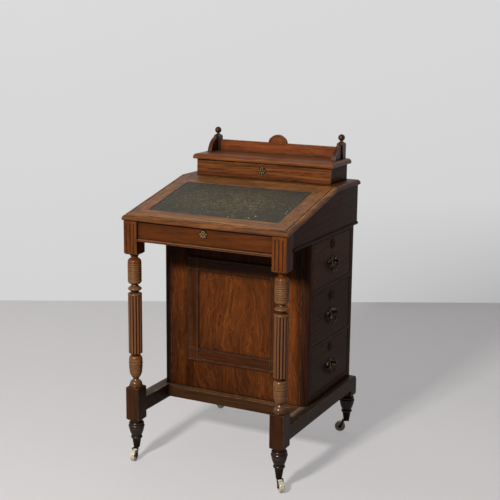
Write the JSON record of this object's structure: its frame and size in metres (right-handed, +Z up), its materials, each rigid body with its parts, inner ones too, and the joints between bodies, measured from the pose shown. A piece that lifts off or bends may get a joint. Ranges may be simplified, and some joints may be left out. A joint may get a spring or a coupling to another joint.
{
  "type": "davenport desk",
  "caption": "Small walnut writing desk with a leather sloped flap, lidded stationery box with gallery, side drawers, turned reeded front legs and castors.",
  "frame": {"origin": "on the floor, under the middle of the whole desk", "axes": "+X to the sitter's right (drawer side), +Y to the back, +Z up"},
  "size_m": [0.5367, 0.5756, 0.975],
  "materials": {
    "walnut": "polished figured walnut",
    "walnut_dark": "polished dark walnut",
    "pine": "bare, aged",
    "leather": "tooled, worn",
    "brass": "aged",
    "iron": "dark",
    "ceramic": "glazed cream ceramic"
  },
  "bodies": {
    "cabinet": {"leg_left": "walnut_dark", "leg_right": "walnut_dark", "runners": "walnut_dark", "plinth_rails": "walnut_dark", "back_feet": "walnut_dark", "castor_cups": "brass", "corner_stiles": "walnut", "front_panel": "walnut", "pedestal_panels": "walnut", "pedestal_floor": "pine", "panel_moulding": "walnut", "side_rails": "walnut", "drawer_runners": "pine", "dummy_fronts": "walnut", "dummy_pull_plates": "brass", "case_side_left": "walnut", "case_side_right": "walnut", "case_floor": "pine", "case_back": "walnut", "apron_rail": "walnut", "base_beads": "walnut", "fixed_top": "walnut", "box_front": "walnut", "box_boards": "walnut", "hinge_seats": "brass", "fixed_escutcheons": "brass", "locks": "iron"},
    "flap": {"flap_frame": "walnut", "flap_panel": "walnut", "flap_leather": "leather", "flap_hinge_leaves": "brass"},
    "lid": {"box_lid": "walnut", "gallery_board": "walnut", "gallery_posts": "walnut", "gallery_brackets": "walnut", "lid_hinge_leaves": "brass"},
    "drawer_1": {"drawer_1_front": "walnut", "drawer_1_box": "pine", "drawer_1_fittings": "brass"},
    "drawer_1_handle": {"drawer_1_bail": "brass"},
    "dummy_1_handle": {"dummy_1_bail": "brass"},
    "drawer_2": {"drawer_2_front": "walnut", "drawer_2_box": "pine", "drawer_2_fittings": "brass"},
    "drawer_2_handle": {"drawer_2_bail": "brass"},
    "dummy_2_handle": {"dummy_2_bail": "brass"},
    "drawer_3": {"drawer_3_front": "walnut", "drawer_3_box": "pine", "drawer_3_fittings": "brass"},
    "drawer_3_handle": {"drawer_3_bail": "brass"},
    "dummy_3_handle": {"dummy_3_bail": "brass"},
    "castor_front_left": {"castor_fork_front_left": "brass"},
    "wheel_front_left": {"castor_wheel_front_left": "ceramic"},
    "castor_front_right": {"castor_fork_front_right": "brass"},
    "wheel_front_right": {"castor_wheel_front_right": "ceramic"},
    "castor_back_left": {"castor_fork_back_left": "brass"},
    "wheel_back_left": {"castor_wheel_back_left": "ceramic"},
    "castor_back_right": {"castor_fork_back_right": "brass"},
    "wheel_back_right": {"castor_wheel_back_right": "ceramic"}
  },
  "joints": [
    {"name": "flap_hinge", "type": "hinge", "parent": "cabinet", "child": "flap", "pos_m": [0, 0.067, 0.835], "axis": [-1, 0, 0], "range_deg": [0, 127]},
    {"name": "lid_hinge", "type": "hinge", "parent": "cabinet", "child": "lid", "pos_m": [0, 0.2372, 0.8802], "axis": [-1, 0, 0], "range_deg": [0, 118]},
    {"name": "drawer_1_slide", "type": "slide", "parent": "cabinet", "child": "drawer_1", "axis": [1, 0, 0], "range_m": [0, 0.3]},
    {"name": "drawer_1_bail_pivot", "type": "hinge", "parent": "drawer_1", "child": "drawer_1_handle", "pos_m": [0.254, 0.095, 0.601], "axis": [0, -1, 0], "range_deg": [-10, 180]},
    {"name": "dummy_1_bail_pivot", "type": "hinge", "parent": "cabinet", "child": "dummy_1_handle", "pos_m": [-0.254, 0.095, 0.601], "axis": [0, 1, 0], "range_deg": [-10, 180]},
    {"name": "drawer_2_slide", "type": "slide", "parent": "cabinet", "child": "drawer_2", "axis": [1, 0, 0], "range_m": [0, 0.3]},
    {"name": "drawer_2_bail_pivot", "type": "hinge", "parent": "drawer_2", "child": "drawer_2_handle", "pos_m": [0.254, 0.095, 0.439], "axis": [0, -1, 0], "range_deg": [-10, 180]},
    {"name": "dummy_2_bail_pivot", "type": "hinge", "parent": "cabinet", "child": "dummy_2_handle", "pos_m": [-0.254, 0.095, 0.439], "axis": [0, 1, 0], "range_deg": [-10, 180]},
    {"name": "drawer_3_slide", "type": "slide", "parent": "cabinet", "child": "drawer_3", "axis": [1, 0, 0], "range_m": [0, 0.3]},
    {"name": "drawer_3_bail_pivot", "type": "hinge", "parent": "drawer_3", "child": "drawer_3_handle", "pos_m": [0.254, 0.095, 0.2765], "axis": [0, -1, 0], "range_deg": [-10, 180]},
    {"name": "dummy_3_bail_pivot", "type": "hinge", "parent": "cabinet", "child": "dummy_3_handle", "pos_m": [-0.254, 0.095, 0.2765], "axis": [0, 1, 0], "range_deg": [-10, 180]},
    {"name": "castor_front_left_swivel", "type": "hinge", "parent": "cabinet", "child": "castor_front_left", "pos_m": [-0.24, -0.251, 0.0384], "axis": [0, 0, 1], "continuous": true},
    {"name": "castor_front_left_roll", "type": "hinge", "parent": "castor_front_left", "child": "wheel_front_left", "pos_m": [-0.23722, -0.27081, 0.017], "axis": [-0.9903, -0.1392, 0], "continuous": true},
    {"name": "castor_front_right_swivel", "type": "hinge", "parent": "cabinet", "child": "castor_front_right", "pos_m": [0.24, -0.251, 0.0384], "axis": [0, 0, 1], "continuous": true},
    {"name": "castor_front_right_roll", "type": "hinge", "parent": "castor_front_right", "child": "wheel_front_right", "pos_m": [0.25338, -0.26586, 0.017], "axis": [-0.7431, -0.6691, 0], "continuous": true},
    {"name": "castor_back_left_swivel", "type": "hinge", "parent": "cabinet", "child": "castor_back_left", "pos_m": [-0.24, 0.263, 0.0384], "axis": [0, 0, 1], "continuous": true},
    {"name": "castor_back_left_roll", "type": "hinge", "parent": "castor_back_left", "child": "wheel_back_left", "pos_m": [-0.22234, 0.25361, 0.017], "axis": [-0.4695, -0.8829, 0], "continuous": true},
    {"name": "castor_back_right_swivel", "type": "hinge", "parent": "cabinet", "child": "castor_back_right", "pos_m": [0.24, 0.263, 0.0384], "axis": [0, 0, 1], "continuous": true},
    {"name": "castor_back_right_roll", "type": "hinge", "parent": "castor_back_right", "child": "wheel_back_right", "pos_m": [0.22173, 0.25487, 0.017], "axis": [-0.4067, 0.9135, 0], "continuous": true}
  ]
}
